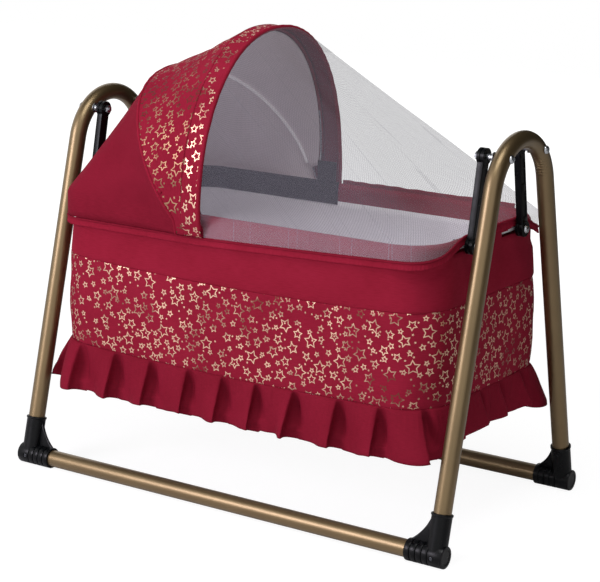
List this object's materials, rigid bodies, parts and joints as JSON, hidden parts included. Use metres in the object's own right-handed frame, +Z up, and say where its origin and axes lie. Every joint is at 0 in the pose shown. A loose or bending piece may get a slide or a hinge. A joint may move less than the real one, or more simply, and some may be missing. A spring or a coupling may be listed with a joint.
{
  "type": "baby cradle",
  "caption": "Cloth baby cradle with a net hood, its basket hung on link hangers between two bent tube end frames joined by floor rails.",
  "frame": {"origin": "on the floor, under the middle of the cradle's bounding box", "axes": "+X from the hooded head end to the foot end, +Y across to the back, +Z up"},
  "size_m": [0.9522, 0.535, 0.8671],
  "materials": {
    "gold_tube": "satin gold powder coat on bent steel tube",
    "black_plastic": "black moulded plastic with a dull sheen",
    "zinc_steel": "bright zinc plate",
    "maroon_cloth": "plain woven polyester, maroon",
    "star_cloth": "maroon polyester with printed foil stars",
    "white_cloth": "off-white lining cloth",
    "white_net": "fine white mosquito net",
    "hardboard": "hardboard"
  },
  "bodies": {
    "stand": {"end_frame_left": "gold_tube", "end_frame_right": "gold_tube", "floor_rail_back": "gold_tube", "floor_rail_front": "gold_tube", "foot_back_left": "black_plastic", "foot_back_right": "black_plastic", "foot_front_left": "black_plastic", "foot_front_right": "black_plastic", "foot_screw_back_left": "zinc_steel", "foot_screw_back_right": "zinc_steel", "foot_screw_front_left": "zinc_steel", "foot_screw_front_right": "zinc_steel", "spacer_back_left": "zinc_steel", "spacer_back_right": "zinc_steel", "spacer_front_left": "zinc_steel", "spacer_front_right": "zinc_steel", "upper_bolt_back_left": "zinc_steel", "upper_bolt_back_right": "zinc_steel", "upper_bolt_front_left": "zinc_steel", "upper_bolt_front_right": "zinc_steel", "upper_nut_back_left": "zinc_steel", "upper_nut_back_right": "zinc_steel", "upper_nut_front_left": "zinc_steel", "upper_nut_front_right": "zinc_steel"},
    "front_hangers": {"hanger_front_left": "black_plastic", "hanger_front_right": "black_plastic"},
    "back_hangers": {"hanger_back_left": "black_plastic", "hanger_back_right": "black_plastic"},
    "basket": {"base_board": "hardboard", "basket_lining": "white_cloth", "basket_ring": "zinc_steel", "floor_cloth": "white_cloth", "foot_net": "white_net", "hood_lining": "white_cloth", "hood_pin_back": "zinc_steel", "hood_pin_front": "zinc_steel", "lower_bolt_back_left": "zinc_steel", "lower_bolt_back_right": "zinc_steel", "lower_bolt_front_left": "zinc_steel", "lower_bolt_front_right": "zinc_steel", "lower_nut_back_left": "zinc_steel", "lower_nut_back_right": "zinc_steel", "lower_nut_front_left": "zinc_steel", "lower_nut_front_right": "zinc_steel", "mattress": "white_cloth", "rear_bow": "zinc_steel", "rear_panel": "maroon_cloth", "skirt": "maroon_cloth", "star_band": "star_cloth", "star_panel": "star_cloth", "upper_band": "maroon_cloth", "zip_piping": "maroon_cloth"},
    "hood_front": {"middle_bow": "zinc_steel", "visor_panel": "star_cloth", "front_binding": "maroon_cloth"}
  },
  "joints": [
    {"name": "front_hanger_pivot", "type": "hinge", "parent": "stand", "child": "front_hangers", "pos_m": [0, -0.06621, 0.6834], "axis": [1, 0, 0], "range_deg": [-12, 12]},
    {"name": "basket_pivot", "type": "hinge", "parent": "front_hangers", "child": "basket", "pos_m": [0, -0.095, 0.53039], "axis": [1, 0, 0], "range_deg": [-8.5, 8.5]},
    {"name": "back_hanger_pivot", "type": "hinge", "parent": "stand", "child": "back_hangers", "pos_m": [0, 0.06621, 0.6834], "axis": [1, 0, 0], "range_deg": [-12, 12]},
    {"name": "hood_pivot", "type": "hinge", "parent": "basket", "child": "hood_front", "pos_m": [-0.105, 0, 0.53039], "axis": [0, 1, 0], "range_deg": [-30, 0], "deforming": ["star_panel", "hood_lining", "foot_net"]}
  ],
  "couplings": [
    {"joint": "basket_pivot", "follows": "front_hanger_pivot", "ratio": -0.697},
    {"joint": "back_hanger_pivot", "follows": "front_hanger_pivot", "ratio": 1}
  ]
}
